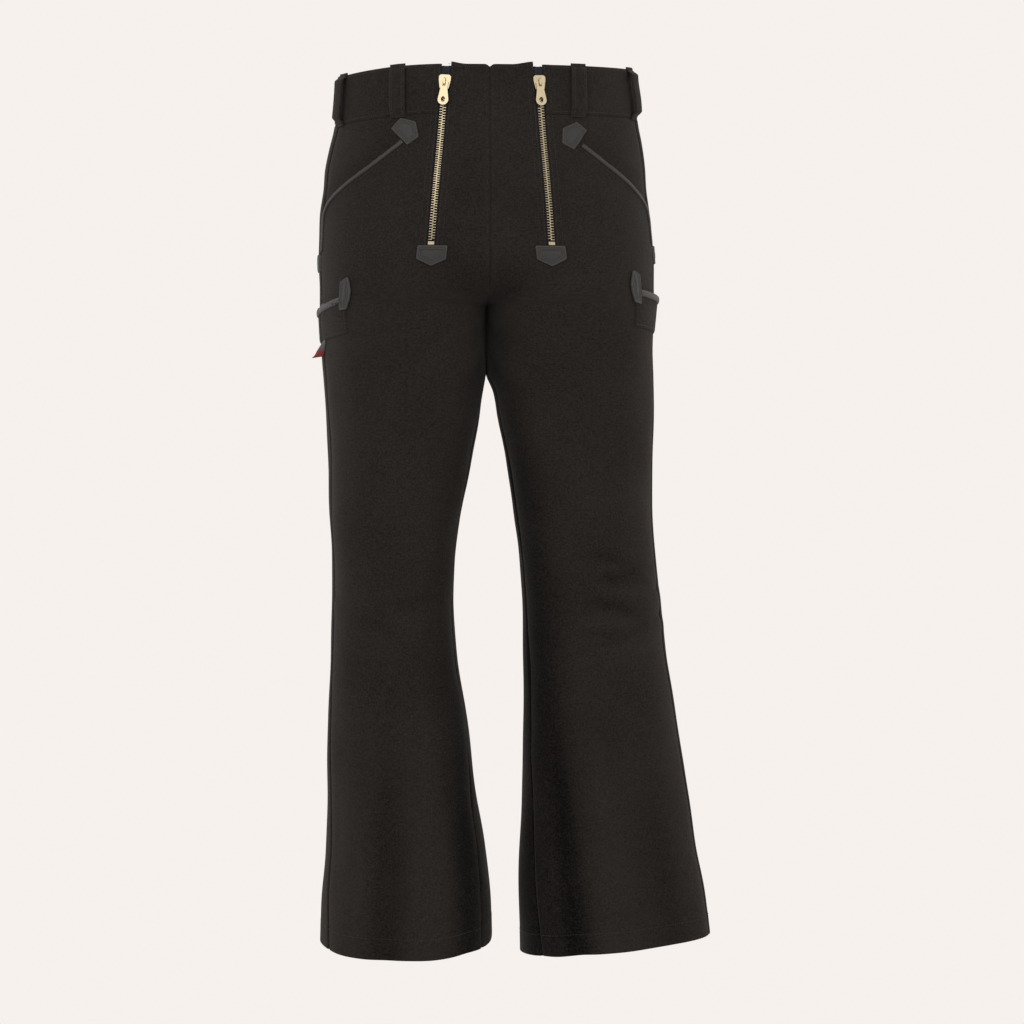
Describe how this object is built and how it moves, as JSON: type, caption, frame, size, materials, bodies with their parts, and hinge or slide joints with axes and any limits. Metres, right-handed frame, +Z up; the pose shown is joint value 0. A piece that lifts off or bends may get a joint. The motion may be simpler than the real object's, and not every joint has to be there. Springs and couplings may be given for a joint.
{
  "type": "journeyman trousers",
  "caption": "Flared workwear trousers in worn form, with a double-zip front, leather-piped pockets and a ruler pocket on each thigh.",
  "frame": {"origin": "middle of the waistband ring, at half the waistband's height", "axes": "+Z up towards the waist, -Y the front, +X the wearer's left"},
  "size_m": [0.4829, 0.2664, 1.0841],
  "materials": {
    "cloth": "matte, fine close weave",
    "leather": "matte suede-like",
    "brass": "polished",
    "zip_tape": "matte woven tape",
    "tab": "woven ribbon"
  },
  "bodies": {
    "trousers": {"right_front_panel": "cloth", "right_back_panel": "cloth", "right_waistband": "cloth", "right_ruler_pocket": "cloth", "right_front_loop": "cloth", "right_side_loop": "cloth", "right_back_loop": "cloth", "right_mouth_piping": "leather", "right_ruler_piping": "leather", "right_pocket_patch": "leather", "right_lower_patch": "leather", "right_ruler_patch": "leather", "right_fly_patch": "leather", "right_zip_chain": "brass", "right_zip_stop": "brass", "right_zip_slider": "brass", "right_zip_tape": "zip_tape", "left_front_panel": "cloth", "left_back_panel": "cloth", "left_waistband": "cloth", "left_ruler_pocket": "cloth", "left_front_loop": "cloth", "left_side_loop": "cloth", "left_back_loop": "cloth", "left_mouth_piping": "leather", "left_ruler_piping": "leather", "left_pocket_patch": "leather", "left_lower_patch": "leather", "left_ruler_patch": "leather", "left_fly_patch": "leather", "left_zip_chain": "brass", "left_zip_stop": "brass", "left_zip_slider": "brass", "left_zip_tape": "zip_tape", "centre_back_loop": "cloth", "label_tab": "tab"},
    "right_pull": {"right_zip_pull": "brass"},
    "left_pull": {"left_zip_pull": "brass"}
  },
  "joints": [
    {"name": "right_zip_pull_hinge", "type": "hinge", "parent": "trousers", "child": "right_pull", "pos_m": [-0.05177, -0.10429, -0.00412], "axis": [-0.9856, 0.156, 0.0657], "range_deg": [0, 160]},
    {"name": "left_zip_pull_hinge", "type": "hinge", "parent": "trousers", "child": "left_pull", "pos_m": [0.05715, -0.10341, -0.00401], "axis": [-0.9844, -0.1696, -0.0471], "range_deg": [0, 160]}
  ]
}
